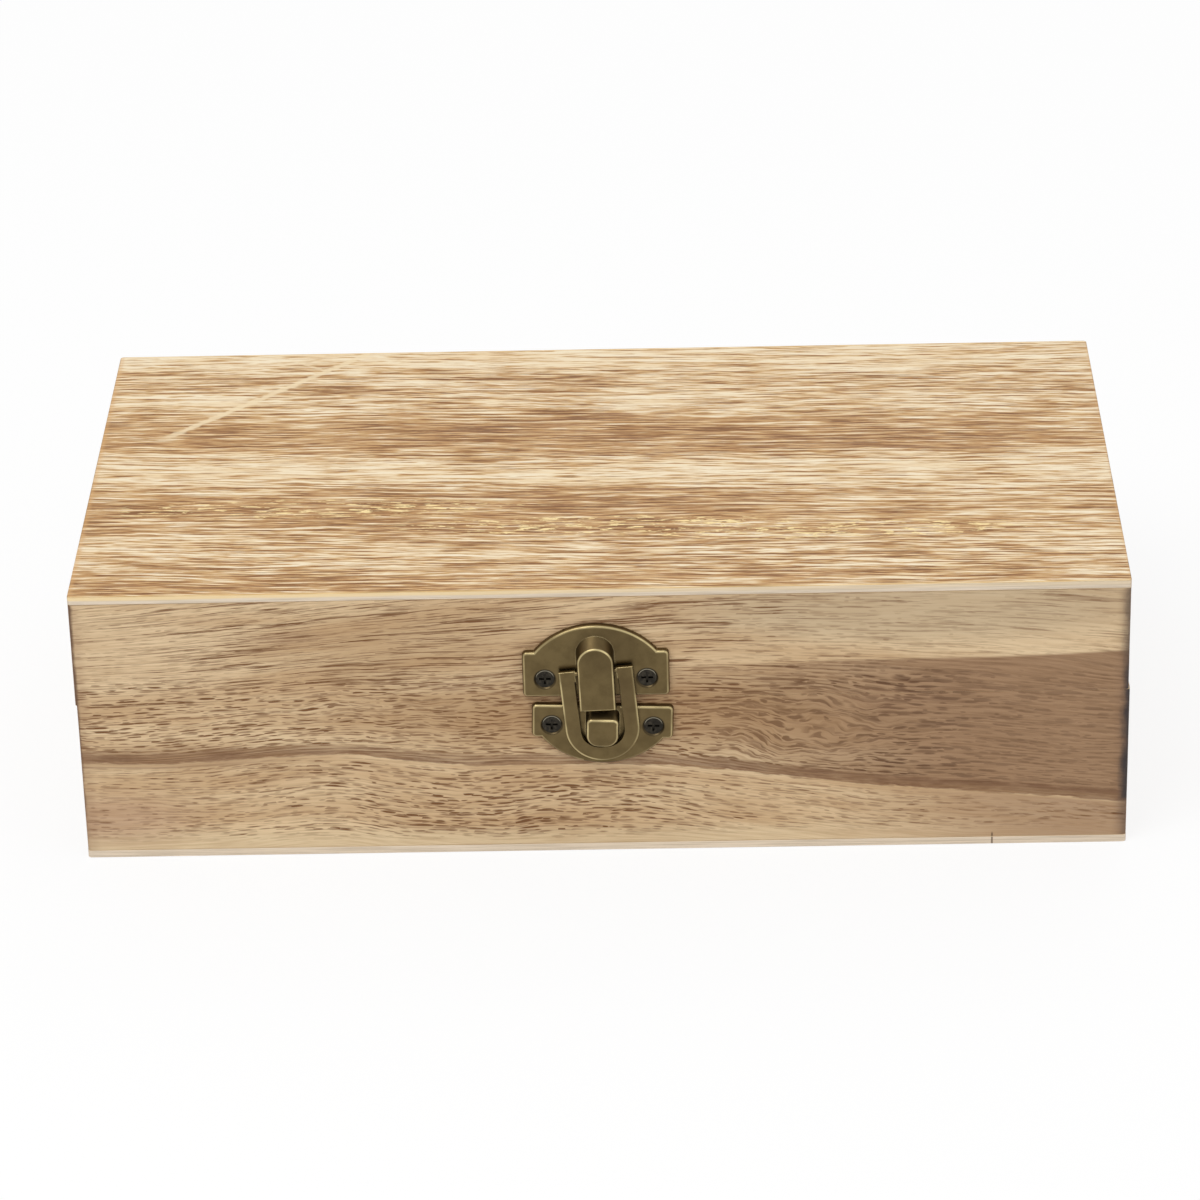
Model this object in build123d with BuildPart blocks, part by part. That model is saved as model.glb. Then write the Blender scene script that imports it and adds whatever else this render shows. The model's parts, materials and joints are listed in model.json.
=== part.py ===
"""Wooden brush box with a hinged lid and a snap-ring latch, in millimetres.

+X runs along the box, -Y is the latch side and +Z is up.
The origin is the centre of the underside of the bottom panel.
"""

import os
from math import cos, radians, sin

from build123d import *

# ---------------------------------------------------------------- carcass
box_length = 240.0
box_depth = 131.6
board_thickness = 8.0
panel_thickness = 2.0
base_frame_height = 37.9
lid_frame_height = 25.7
seam_gap = 0.1
corner_radius = 0.8
lid_side_shift = -0.3  # the lid sits this far along X from true, as a hand-fitted one does

# ---------------------------------------------------------------- latch
latch_offset = -1.0  # of the lid plate's middle from the lid's middle, along X
lid_plate_width = 33.4
lid_plate_ear = 2.7  # width of the square ear beside its arc
base_plate_width = 32.3
base_plate_ear = 2.15
plate_arc_rise = 6.6
plate_rise = 1.5  # of the plate's face off the wood
plate_sheet = 0.8
plate_edge_radius = 0.9
plate_corner_radius = 1.1
plate_boss_radius = 3.5
hollow_corner_radius = 0.3

lid_plate_shoulder = 11.55
lid_plate_above_seam = 1.0
base_plate_shoulder = 8.5
base_plate_below_seam = 1.25
base_plate_offset = 0.1
base_plate_tilt = -1.9  # degrees, clockwise seen from the front

tongue_width = 8.2
tongue_tilt = 1.9  # degrees, its foot to the right
tongue_sheet = 1.0
tongue_above_journal = 9.1
tongue_below_journal = 9.3
tongue_slope_run = 2.6
tongue_side_draft = 0.3
tongue_edge_radius = 0.75
pocket_above_journal = 1.6
tongue_stop_width = 3.0
tongue_stop_height = 1.0

knob_width = 7.4
knob_top = 0.35  # below the base plate's straight edge
knob_face_run = 2.1
knob_side_draft = 0.2
knob_rise = 3.0  # off the plate's face
knob_edge_radius = 0.9
knob_corner_radius = 2.9
knob_top_corner_radius = 1.3
knob_catch_gap = 0.3  # between the knob's underside and the ring's foot

ring_width = 16.9
ring_length = 23.5
ring_sheet = 1.2
ring_arm_width = 3.55
ring_lean = 5.0  # degrees, its foot to the right
ring_crossbar_height = 2.8
ring_above_journal = 0.9
ring_edge_radius = 0.3
ring_window_radius = 4.2
journal_radius = 0.55
journal_height = 6.95  # above the lid plate's straight edge
journal_clearance = 0.3

# ---------------------------------------------------------------- hinges
hinge_length = 26.0
hinge_end_inset = 45.0  # of a hinge's middle from the box's end
leaf_height = 12.5
leaf_sheet = 1.1
leaf_corner_radius = 1.5
knuckle_radius = 1.7
knuckle_count = 3
knuckle_gap = 0.2
knuckle_wood_clearance = 0.3
hinge_pin_radius = 0.85
hinge_pin_clearance = 0.04
hinge_pin_head_radius = 1.25
hinge_pin_head_height = 0.5

# ---------------------------------------------------------------- screws
screw_clearance = 0.05
latch_screw_spacing = 23.2
latch_screw_head_radius = 2.15
latch_screw_shank_radius = 1.0
latch_screw_length = 7.2
lid_screw_height = 4.65  # above the lid plate's straight edge
base_screw_depth = 5.15  # below the base plate's straight edge
hinge_screw_spacing = 16.0
hinge_screw_head_radius = 1.6
hinge_screw_shank_radius = 0.8
hinge_screw_length = 6.4
hinge_screw_height = 7.6  # from the hinge axis
screw_tip_length = 1.6
recess_width = 0.5
recess_depth = 0.7
recess_share = 0.62  # of the head's radius
screw_sink = 0.25  # of a screw's head below its countersink's rim

# ---------------------------------------------------------------- derived levels and planes
FRONT = -box_depth / 2
BACK = box_depth / 2
board_row = (box_depth - board_thickness) / 2
end_board_length = box_depth - 2 * board_thickness
end_board_row = (box_length - board_thickness) / 2
base_floor = panel_thickness
base_rim = base_floor + base_frame_height
lid_rim = base_rim + seam_gap
lid_ceiling = lid_rim + lid_frame_height
hinge_axis_height = (base_rim + lid_rim) / 2
hinge_axis_off_wood = knuckle_radius + knuckle_wood_clearance


def front_plane(x, z, turn=0.0):
    """Plane on the front of the box at (x, z), facing out, turned by degrees seen from the front."""
    across = (cos(radians(turn)), 0, sin(radians(turn)))
    return Plane(origin=(x, FRONT, z), x_dir=across, z_dir=(0, -1, 0))


def back_plane(x, z):
    """Plane on the back of the box at (x, z), facing out, with its y axis up."""
    return Plane(origin=(x, BACK, z), x_dir=(-1, 0, 0), z_dir=(0, 1, 0))


def moved(plane, x, y, z=0.0):
    """The same plane with its origin at the local point (x, y, z)."""
    return Plane(origin=plane.from_local_coords((x, y, z)), x_dir=plane.x_dir, z_dir=plane.z_dir)


lid_plate_plane = front_plane(lid_side_shift + latch_offset, lid_rim + lid_plate_above_seam)
base_plate_plane = front_plane(base_plate_offset, base_rim - base_plate_below_seam, 180 + base_plate_tilt)
journal_off_wood = plate_rise + ring_above_journal + journal_clearance
journal_centre = moved(lid_plate_plane, 0, journal_height, journal_off_wood).origin
ring_plane = front_plane(journal_centre.X, journal_centre.Z, ring_lean).offset(journal_off_wood)
tongue_plane = front_plane(journal_centre.X, journal_centre.Z, tongue_tilt)
ring_foot_inside = ring_length - ring_above_journal - ring_arm_width

lid_screw_planes = [
    moved(lid_plate_plane, side * latch_screw_spacing / 2, lid_screw_height, plate_rise) for side in (-1, 1)
]
base_screw_planes = [
    moved(base_plate_plane, side * latch_screw_spacing / 2, base_screw_depth, plate_rise) for side in (-1, 1)
]
hinge_planes = {
    "left": back_plane(hinge_end_inset - box_length / 2, hinge_axis_height),
    "right": back_plane(box_length / 2 - hinge_end_inset, hinge_axis_height),
}


def hinge_screw_planes(way):
    """Screw planes of both hinges on the side of the axis that way (+1 lid, -1 base) points to."""
    return [
        moved(plane, side * hinge_screw_spacing / 2, way * hinge_screw_height, leaf_sheet)
        for plane in hinge_planes.values()
        for side in (-1, 1)
    ]


os.makedirs("parts", exist_ok=True)


def save(builder, label):
    """Name a finished piece and write it."""
    builder.part.label = label
    export_step(builder.part, f"parts/{label}.step")


# ---------------------------------------------------------------- wooden pieces
def long_board(label, side, shift, floor, height, screw_planes, shank_radius, screw_length):
    """Front (side -1) or back (side +1) board, full length, with pilot holes for its fittings."""
    with BuildPart() as board:
        with BuildSketch(Plane((shift, side * board_row, floor))):
            Rectangle(box_length, board_thickness)
        extrude(amount=height)
        uprights = board.edges().filter_by(Axis.Z).group_by(Axis.Y)[-1 if side > 0 else 0]
        fillet(uprights, radius=corner_radius)
        for plane in screw_planes:
            with Locations(plane):
                Hole(shank_radius + screw_clearance, depth=screw_sink + screw_length + screw_clearance)
    save(board, label)


def end_board(label, side, shift, floor, height):
    """Left (side -1) or right (side +1) end board, butted between the long boards."""
    with BuildPart() as board:
        with BuildSketch(Plane((shift + side * end_board_row, 0, floor))):
            Rectangle(board_thickness, end_board_length)
        extrude(amount=height)
    save(board, label)


def panel(label, shift, floor):
    """Thin panel glued over a frame, its edge showing all round."""
    with BuildPart() as sheet:
        with BuildSketch(Plane((shift, 0, floor))):
            RectangleRounded(box_length, box_depth, corner_radius)
        extrude(amount=panel_thickness)
    save(sheet, label)


def wooden_half(name, shift, floor, height, latch_planes, hinge_way):
    """The four boards of the base or the lid."""
    long_board(
        f"{name}_front_board", -1, shift, floor, height,
        latch_planes, latch_screw_shank_radius, latch_screw_length,
    )
    long_board(
        f"{name}_back_board", 1, shift, floor, height,
        hinge_screw_planes(hinge_way), hinge_screw_shank_radius, hinge_screw_length,
    )
    end_board(f"{name}_left_end", -1, shift, floor, height)
    end_board(f"{name}_right_end", 1, shift, floor, height)


wooden_half("base", 0, base_floor, base_frame_height, base_screw_planes, -1)
wooden_half("lid", lid_side_shift, lid_rim, lid_frame_height, lid_screw_planes, 1)
panel("bottom_panel", 0, 0)
panel("top_panel", lid_side_shift, lid_ceiling)


# ---------------------------------------------------------------- screws
def countersunk_screws(label, planes, head_radius, shank_radius, length):
    """Cross-recessed countersunk wood screws, their heads a little below the given planes."""
    head_height = head_radius - shank_radius
    recess_length = 2 * recess_share * head_radius
    with BuildPart() as screws:
        for rim_plane in planes:
            plane = rim_plane.offset(-screw_sink)
            with BuildSketch(Plane(origin=plane.origin, x_dir=plane.x_dir, z_dir=-plane.y_dir)):
                with BuildLine():
                    Polyline(
                        (0, 0),
                        (head_radius, 0),
                        (shank_radius, -head_height),
                        (shank_radius, screw_tip_length - length),
                        (0, -length),
                        close=True,
                    )
                make_face()
            revolve(axis=Axis(plane.origin, plane.z_dir))
            with BuildSketch(plane):
                Rectangle(recess_length, recess_width)
                Rectangle(recess_width, recess_length)
            extrude(amount=-recess_depth, mode=Mode.SUBTRACT)
    save(screws, label)


latch_screw_sizes = (latch_screw_head_radius, latch_screw_shank_radius, latch_screw_length)
hinge_screw_sizes = (hinge_screw_head_radius, hinge_screw_shank_radius, hinge_screw_length)
countersunk_screws("latch_lid_screws", lid_screw_planes, *latch_screw_sizes)
countersunk_screws("latch_base_screws", base_screw_planes, *latch_screw_sizes)
countersunk_screws("hinge_lid_screws", hinge_screw_planes(1), *hinge_screw_sizes)
countersunk_screws("hinge_base_screws", hinge_screw_planes(-1), *hinge_screw_sizes)


def screw_holes(planes, head_radius, shank_radius):
    """Countersunk holes that the screws of these planes pass through."""
    for plane in planes:
        with Locations(plane):
            CounterSinkHole(
                radius=shank_radius + screw_clearance,
                counter_sink_radius=head_radius + screw_sink + screw_clearance,
                counter_sink_angle=90,
            )


# ---------------------------------------------------------------- latch plates
def plate_outline(plane, width, ear_width, shoulder, inset=0.0):
    """Plate seen from the front: two square ears and a shallow arc between them."""
    half_width = width / 2 - inset
    half_chord = width / 2 - ear_width - inset
    ear = shoulder - inset
    with BuildSketch(plane) as outline:
        with BuildLine():
            Polyline(
                (-half_chord, ear),
                (-half_width, ear),
                (-half_width, inset),
                (half_width, inset),
                (half_width, ear),
                (half_chord, ear),
            )
            ThreePointArc((half_chord, ear), (0, ear + plate_arc_rise), (-half_chord, ear))
        make_face()
        outer_corners = vertices().group_by(Axis.X)[0] + vertices().group_by(Axis.X)[-1]
        fillet(outer_corners, radius=max(plate_corner_radius - inset, hollow_corner_radius))
    return outline.sketch


def dished_plate(plane, width, ear_width, shoulder, screw_height):
    """Plate with turned-down edges, hollow behind except round the screws."""
    hollow_inset = plate_sheet + plate_edge_radius / 2
    hollow_depth = plate_rise - plate_sheet
    with BuildPart() as plate:
        extrude(plate_outline(plane, width, ear_width, shoulder), amount=plate_rise)
        face = plate.faces().sort_by(Axis(plane.origin, plane.z_dir))[-1]
        fillet(face.edges(), radius=plate_edge_radius)
        hollow = plate_outline(plane, width, ear_width, shoulder, hollow_inset)
        extrude(hollow, amount=hollow_depth, mode=Mode.SUBTRACT)
        with BuildSketch(plane):
            with Locations(*[(side * latch_screw_spacing / 2, screw_height) for side in (-1, 1)]):
                Circle(plate_boss_radius)
        extrude(amount=hollow_depth)
    return plate.part


def tongue_outline(plane, width, top):
    """Tongue seen from the front, measured from the ring's journal: straight sides and a round top."""
    half = width / 2
    with BuildSketch(plane) as outline:
        with BuildLine():
            Polyline(
                (-half, top - half),
                (-half, -tongue_below_journal),
                (half, -tongue_below_journal),
                (half, top - half),
            )
            ThreePointArc((half, top - half), (0, top), (-half, top - half))
        make_face()
    return outline.sketch


tongue_inside = journal_off_wood + journal_radius + journal_clearance
tongue_face = tongue_inside + tongue_sheet
stop_top = -journal_radius - journal_clearance
stop_back = plate_rise + journal_clearance
lid_plate_body = dished_plate(
    lid_plate_plane, lid_plate_width, lid_plate_ear, lid_plate_shoulder, lid_screw_height
)

with BuildPart() as tongue:
    # The tongue leaves the plate in a sloping hump, then hangs clear of it down past the seam.
    loft([
        tongue_outline(
            tongue_plane.offset(plate_rise - plate_sheet),
            tongue_width + 2 * tongue_side_draft,
            tongue_above_journal,
        ),
        tongue_outline(
            tongue_plane.offset(tongue_face),
            tongue_width,
            tongue_above_journal - tongue_slope_run,
        ),
    ])
    tongue_front = tongue.faces().sort_by(Axis(tongue_plane.origin, tongue_plane.z_dir))[-1]
    fillet(tongue_front.edges(), radius=tongue_edge_radius)
    # Behind it is the pocket in which the ring's journal turns.
    with BuildSketch(tongue_plane):
        with Locations((0, pocket_above_journal)):
            Rectangle(lid_plate_width, 2 * tongue_below_journal, align=(Align.CENTER, Align.MAX))
    extrude(amount=tongue_inside, mode=Mode.SUBTRACT)
    # A rib on its inner side keeps the journal from sliding out.
    with BuildSketch(tongue_plane.offset(stop_back)):
        with Locations((0, stop_top)):
            Rectangle(tongue_stop_width, tongue_stop_height, align=(Align.CENTER, Align.MAX))
    extrude(amount=tongue_inside - stop_back)

with BuildPart() as lid_plate:
    add(lid_plate_body)
    add(tongue.part)
    screw_holes(lid_screw_planes, latch_screw_head_radius, latch_screw_shank_radius)
save(lid_plate, "latch_lid_plate")

# The knob's underside stands a named gap above the inside of the ring's foot.
ring_foot_height = journal_centre.Z - ring_foot_inside * cos(radians(ring_lean))
knob_foot = base_plate_plane.origin.Z - ring_foot_height - knob_catch_gap
base_plate_body = dished_plate(
    base_plate_plane, base_plate_width, base_plate_ear, base_plate_shoulder, base_screw_depth
)


def knob_outline(plane, top, foot, half):
    """Knob seen from the front, foot away from the seam, with large corners at its foot."""
    with BuildSketch(plane) as outline:
        with Locations((0, top)):
            Rectangle(2 * half, foot - top, align=(Align.CENTER, Align.MIN))
        fillet(vertices().group_by(Axis.Y)[0], radius=knob_top_corner_radius)
        fillet(vertices().group_by(Axis.Y)[-1], radius=knob_corner_radius)
    return outline.sketch


with BuildPart() as knob:
    loft([
        knob_outline(
            base_plate_plane.offset(plate_rise - plate_sheet),
            knob_top,
            knob_foot,
            knob_width / 2 + knob_side_draft,
        ),
        knob_outline(
            base_plate_plane.offset(plate_rise + knob_rise),
            knob_top + knob_face_run,
            knob_foot,
            knob_width / 2,
        ),
    ])
    knob_front = knob.faces().sort_by(Axis(base_plate_plane.origin, base_plate_plane.z_dir))[-1]
    fillet(knob_front.edges(), radius=knob_edge_radius)

with BuildPart() as base_plate:
    add(base_plate_body)
    add(knob.part)
    screw_holes(base_screw_planes, latch_screw_head_radius, latch_screw_shank_radius)
save(base_plate, "latch_base_plate")

# ---------------------------------------------------------------- latch ring
ring_foot = ring_above_journal - ring_length
ring_bend = ring_foot + ring_width / 2  # where the straight sides meet the round foot
window_top = ring_above_journal - ring_crossbar_height
window_width = ring_width - 2 * ring_arm_width
window_height = window_top + ring_foot_inside
journal_half_length = tongue_width / 2 + tongue_side_draft + journal_clearance

with BuildPart() as ring:
    with BuildSketch(ring_plane.offset(-ring_sheet / 2)):
        with BuildLine():
            Polyline(
                (-ring_width / 2, ring_bend),
                (-ring_width / 2, ring_above_journal),
                (ring_width / 2, ring_above_journal),
                (ring_width / 2, ring_bend),
            )
            ThreePointArc((ring_width / 2, ring_bend), (0, ring_foot), (-ring_width / 2, ring_bend))
        make_face()
    extrude(amount=ring_sheet)
    with BuildSketch(ring_plane.offset(-ring_sheet / 2)):
        with Locations((0, window_top)):
            Rectangle(window_width, window_height, align=(Align.CENTER, Align.MAX))
        fillet(vertices().group_by(Axis.Y)[0], radius=ring_window_radius)
    extrude(amount=ring_sheet, mode=Mode.SUBTRACT)
    fillet(ring.faces().filter_by(Axis.Y).edges(), radius=ring_edge_radius)
    # Behind the tongue the flat crossbar gives way to a round journal.
    with BuildSketch(ring_plane.offset(-ring_sheet)):
        with Locations((0, window_top - ring_edge_radius)):
            Rectangle(2 * journal_half_length, ring_length, align=(Align.CENTER, Align.MIN))
    extrude(amount=2 * ring_sheet, mode=Mode.SUBTRACT)
    with BuildSketch(Plane(ring_plane.origin, z_dir=ring_plane.x_dir)):
        Circle(journal_radius)
    extrude(amount=journal_half_length + journal_radius, both=True)
save(ring, "latch_ring")


# ---------------------------------------------------------------- hinges
knuckle_pitch = (hinge_length + knuckle_gap) / knuckle_count
knuckle_length = knuckle_pitch - knuckle_gap
notch_reach = knuckle_radius + knuckle_wood_clearance


def knuckle_middles(first):
    """Middles of every second knuckle along the hinge, from the first."""
    return [(i - (knuckle_count - 1) / 2) * knuckle_pitch for i in range(first, knuckle_count, 2)]


def hinge_leaf(label, plane, way, first_knuckle, screw_planes):
    """Leaf on the lid (way +1) or on the base (way -1), rolled into its share of the knuckles."""
    axis_plane = plane.offset(hinge_axis_off_wood)
    plate_height = leaf_height - notch_reach
    with BuildPart() as leaf:
        with BuildSketch(moved(plane, 0, way * (notch_reach + plate_height / 2))):
            Rectangle(hinge_length, plate_height)
            fillet(vertices().group_by(Axis.Y)[-1 if way > 0 else 0], radius=leaf_corner_radius)
        extrude(amount=leaf_sheet)
        for middle in knuckle_middles(first_knuckle):
            with BuildSketch(moved(plane, middle, way * notch_reach / 2)):
                Rectangle(knuckle_length, notch_reach)
            extrude(amount=leaf_sheet)
            knuckle_plane = moved(axis_plane, middle, 0)
            with BuildSketch(Plane(knuckle_plane.origin, z_dir=plane.x_dir)):
                Circle(knuckle_radius)
            extrude(amount=knuckle_length / 2, both=True)
        with BuildSketch(Plane(axis_plane.origin, z_dir=plane.x_dir)):
            Circle(hinge_pin_radius + hinge_pin_clearance)
        extrude(amount=hinge_length, both=True, mode=Mode.SUBTRACT)
        screw_holes(screw_planes, hinge_screw_head_radius, hinge_screw_shank_radius)
    save(leaf, label)


def hinge_pin(label, plane):
    """Pin through all the knuckles, with a peened head at each end."""
    axis_plane = plane.offset(hinge_axis_off_wood)
    with BuildPart() as pin:
        with BuildSketch(Plane(axis_plane.origin, z_dir=plane.x_dir)):
            Circle(hinge_pin_radius)
        extrude(amount=hinge_length / 2, both=True)
        for end in (-1, 1):
            head_plane = moved(axis_plane, end * hinge_length / 2, 0)
            with BuildSketch(Plane(head_plane.origin, z_dir=plane.x_dir * end)):
                Circle(hinge_pin_head_radius)
            extrude(amount=hinge_pin_head_height)
            dome = pin.faces().sort_by(Axis(plane.origin, plane.x_dir * end))[-1]
            fillet(dome.edges(), radius=hinge_pin_head_height * 0.6)
    save(pin, label)


for side_name, side_plane in hinge_planes.items():
    side_x = side_plane.origin.X
    lid_side_screws = [plane for plane in hinge_screw_planes(1) if plane.origin.X * side_x > 0]
    base_side_screws = [plane for plane in hinge_screw_planes(-1) if plane.origin.X * side_x > 0]
    hinge_leaf(f"{side_name}_hinge_lid_leaf", side_plane, 1, 1, lid_side_screws)
    hinge_leaf(f"{side_name}_hinge_base_leaf", side_plane, -1, 0, base_side_screws)
    hinge_pin(f"{side_name}_hinge_pin", side_plane)
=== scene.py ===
"""Looks of the wooden brush box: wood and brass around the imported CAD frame, in metres.

The box stands with its latch side towards -Y, +X runs along it and +Z is up.
Grain is worked out in millimetres from each piece's own Object coordinates, so it stays on the
wood when the lid moves, and it runs on unbroken from the base's front board to the lid's.
"""

import json
from math import cos, hypot, radians, sin

import bmesh
import bpy
from mathutils import Matrix, Vector, noise


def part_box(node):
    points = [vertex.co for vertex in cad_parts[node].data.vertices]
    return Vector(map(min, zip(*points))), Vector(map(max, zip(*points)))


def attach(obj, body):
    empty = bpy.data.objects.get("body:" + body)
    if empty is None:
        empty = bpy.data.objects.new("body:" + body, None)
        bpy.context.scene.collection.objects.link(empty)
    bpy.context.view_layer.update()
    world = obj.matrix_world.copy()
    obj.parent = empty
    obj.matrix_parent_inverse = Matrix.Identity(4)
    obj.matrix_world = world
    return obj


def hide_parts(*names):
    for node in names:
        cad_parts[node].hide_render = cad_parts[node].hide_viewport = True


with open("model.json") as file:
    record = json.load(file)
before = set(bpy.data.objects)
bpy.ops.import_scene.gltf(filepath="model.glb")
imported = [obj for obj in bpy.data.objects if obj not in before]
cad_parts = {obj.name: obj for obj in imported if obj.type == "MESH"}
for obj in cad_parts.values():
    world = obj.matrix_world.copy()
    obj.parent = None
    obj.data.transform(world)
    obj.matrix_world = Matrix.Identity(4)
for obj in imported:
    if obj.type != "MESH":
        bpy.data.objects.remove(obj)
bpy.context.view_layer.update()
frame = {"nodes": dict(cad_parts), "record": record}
record = frame["record"]

MM = 0.001


# ---------------------------------------------------------------- formulas from shader nodes
def linear(red, green, blue):
    """A colour as painters name it, 0 to 255, in the linear values that shaders take."""
    def channel(value):
        value /= 255
        return value / 12.92 if value <= 0.04045 else ((value + 0.055) / 1.055) ** 2.4
    return (channel(red), channel(green), channel(blue), 1.0)


class Out:
    """A shader node's output that can be written in formulas."""

    def __init__(self, graph, socket):
        self.graph = graph
        self.socket = socket

    def __add__(self, other):
        return self.graph.math("ADD", self, other)

    def __sub__(self, other):
        return self.graph.math("SUBTRACT", self, other)

    def __rsub__(self, other):
        return self.graph.math("SUBTRACT", other, self)

    def __mul__(self, other):
        return self.graph.math("MULTIPLY", self, other)

    def __truediv__(self, other):
        return self.graph.math("DIVIDE", self, other)

    __radd__ = __add__
    __rmul__ = __mul__

    def size(self):
        return self.graph.math("ABSOLUTE", self)

    def at_least(self, other):
        return self.graph.math("MAXIMUM", self, other)

    def kept(self):
        """Held between 0 and 1."""
        return self.graph.math("ADD", self, 0.0, clamp=True)


class Graph:
    """The node tree of one material, built by formulas."""

    def __init__(self, name):
        self.material = bpy.data.materials.new(name)
        self.material.use_nodes = True
        self.tree = self.material.node_tree
        self.shader = self.tree.nodes["Principled BSDF"]
        self.coordinates = self.tree.nodes.new("ShaderNodeTexCoord")

    def node(self, kind, **settings):
        made = self.tree.nodes.new(kind)
        for key, value in settings.items():
            setattr(made, key, value)
        return made

    def feed(self, socket, value):
        if isinstance(value, Out):
            self.tree.links.new(value.socket, socket)
        else:
            socket.default_value = value

    def out(self, socket):
        return Out(self, socket)

    def math(self, operation, first, second=0.0, clamp=False):
        made = self.node("ShaderNodeMath", operation=operation, use_clamp=clamp)
        self.feed(made.inputs[0], first)
        self.feed(made.inputs[1], second)
        return self.out(made.outputs[0])

    def distance(self, first, second):
        return self.math("POWER", first * first + second * second, 0.5)

    def parts(self, vector):
        made = self.node("ShaderNodeSeparateXYZ")
        self.feed(made.inputs[0], vector)
        return tuple(self.out(made.outputs[axis]) for axis in range(3))

    def vector(self, x, y, z):
        made = self.node("ShaderNodeCombineXYZ")
        for socket, value in zip(made.inputs, (x, y, z)):
            self.feed(socket, value)
        return self.out(made.outputs[0])

    def place(self):
        """Object coordinates in millimetres, with their three parts."""
        made = self.node("ShaderNodeVectorMath", operation="MULTIPLY")
        self.feed(made.inputs[0], self.out(self.coordinates.outputs["Object"]))
        made.inputs[1].default_value = (1 / MM, 1 / MM, 1 / MM)
        scaled = self.out(made.outputs[0])
        return (scaled, *self.parts(scaled))

    def normal(self):
        """The surface's direction in the piece's own axes."""
        return self.parts(self.out(self.coordinates.outputs["Normal"]))

    def noise(self, vector, lengths, detail=2.0, roughness=0.5, distortion=0.0, seed=0.0):
        """Smooth noise, 0 to 1, whose grains are as long as lengths says along each axis."""
        scaled = self.node("ShaderNodeMapping", vector_type="POINT")
        self.feed(scaled.inputs["Vector"], vector)
        scaled.inputs["Scale"].default_value = [1 / length for length in lengths]
        scaled.inputs["Location"].default_value = (seed * 7.31, seed * 3.17, seed * 5.53)
        made = self.node("ShaderNodeTexNoise", noise_dimensions="3D")
        self.tree.links.new(scaled.outputs[0], made.inputs["Vector"])
        for key, value in (("Scale", 1.0), ("Detail", detail),
                           ("Roughness", roughness), ("Distortion", distortion)):
            made.inputs[key].default_value = value
        return self.out(made.outputs[0])

    def pores(self, along, across, pitch, size, share, seed):
        """Scattered slim marks on a face: pitch is their spacing and size their mean length and
        thickness in millimetres; share is how many of the places hold one."""
        made = self.node("ShaderNodeTexVoronoi", voronoi_dimensions="2D", feature="F1")
        spot = self.vector(along / pitch[0] + seed * 7.3, across / pitch[1] + seed * 3.1, 0.0)
        self.feed(made.inputs["Vector"], spot)
        made.inputs["Scale"].default_value = 1.0
        spot_x, spot_y, _ = self.parts(spot)
        centre_x, centre_y, _ = self.parts(self.out(made.outputs["Position"]))
        chance, growth, depth = self.parts(self.out(made.outputs["Color"]))
        growth = growth * 1.25 + 0.4  # a few are long, most are short
        off_x = (spot_x - centre_x) * (2 * pitch[0] / size[0]) / growth
        off_y = (spot_y - centre_y) * (2 * pitch[1] / size[1]) / (growth * 0.55 + 0.45)
        mark = self.fade(self.distance(off_x, off_y), 0.45, 1.0)
        return mark * self.fade(chance, share - 0.03, share + 0.03) * (depth * 0.7 + 0.4)

    def ease(self, value, low, high, start=0.0, end=1.0):
        """start below low, end above high, and a smooth change between."""
        made = self.node("ShaderNodeMapRange", interpolation_type="SMOOTHSTEP")
        for key, given in (("Value", value), ("From Min", low), ("From Max", high),
                           ("To Min", start), ("To Max", end)):
            self.feed(made.inputs[key], given)
        return self.out(made.outputs[0])

    def fade(self, value, low, high):
        """1 below low, 0 above high."""
        return self.ease(value, low, high, 1.0, 0.0)

    def line(self, value, points):
        """A smooth line through given points (place, height), both in millimetres."""
        reach = 128.0
        made = self.node("ShaderNodeFloatCurve")
        self.feed(made.inputs["Value"], value / (2 * reach) + 0.5)
        curve = made.mapping.curves[0]
        while len(curve.points) < len(points):
            curve.points.new(0.5, 0.5)
        for point, (place, height) in zip(curve.points, sorted(points)):
            point.location = (place / (2 * reach) + 0.5, height / (2 * reach) + 0.5)
            point.handle_type = "AUTO_CLAMPED"
        made.mapping.update()
        return (self.out(made.outputs[0]) - 0.5) * (2 * reach)

    def blob(self, first, second, middle, radii, soft=0.6):
        """1 in the middle of an ellipse, 0 outside it."""
        across = (first - middle[0]) / radii[0]
        along = (second - middle[1]) / radii[1]
        return self.fade(self.distance(across, along), 1 - soft, 1.0)

    def mix(self, share, low, high):
        """low where share is 0, high where it is 1. A plain colour is written 0 to 255."""
        made = self.node("ShaderNodeMix", data_type="RGBA")
        made.clamp_factor = True
        self.feed(made.inputs["Factor"], share)
        sockets = [socket for socket in made.inputs if socket.type == "RGBA"]
        for socket, colour in zip(sockets, (low, high)):
            self.feed(socket, linear(*colour) if isinstance(colour, tuple) else colour)
        return self.out(next(socket for socket in made.outputs if socket.type == "RGBA"))

    def finish(self, colour, roughness, height, bump, **fixed):
        """Colour, roughness and a bump whose height is in millimetres."""
        self.feed(self.shader.inputs["Base Color"], colour)
        self.feed(self.shader.inputs["Roughness"], roughness)
        for key, value in fixed.items():
            self.shader.inputs[key.replace("_", " ")].default_value = value
        made = self.node("ShaderNodeBump")
        made.inputs["Strength"].default_value = bump
        made.inputs["Distance"].default_value = MM
        self.feed(made.inputs["Height"], height)
        self.tree.links.new(made.outputs["Normal"], self.shader.inputs["Normal"])
        return self.material


# ---------------------------------------------------------------- wood
FRONT = -65.8  # the front face, in millimetres
BACK = 65.8
HALF_LENGTH = 120.0
BOX_END = 120.15  # between the base's left end and the lid's, which stand 0.3 mm apart
SEAM_HEIGHT = 39.95  # between base and lid
CUT_ALONG = 89.1  # a nick across the bottom panel's edge, which runs a little into the board
CUT_COLOUR = (92, 70, 50)
WOOD_SPECULAR = 0.35

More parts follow.
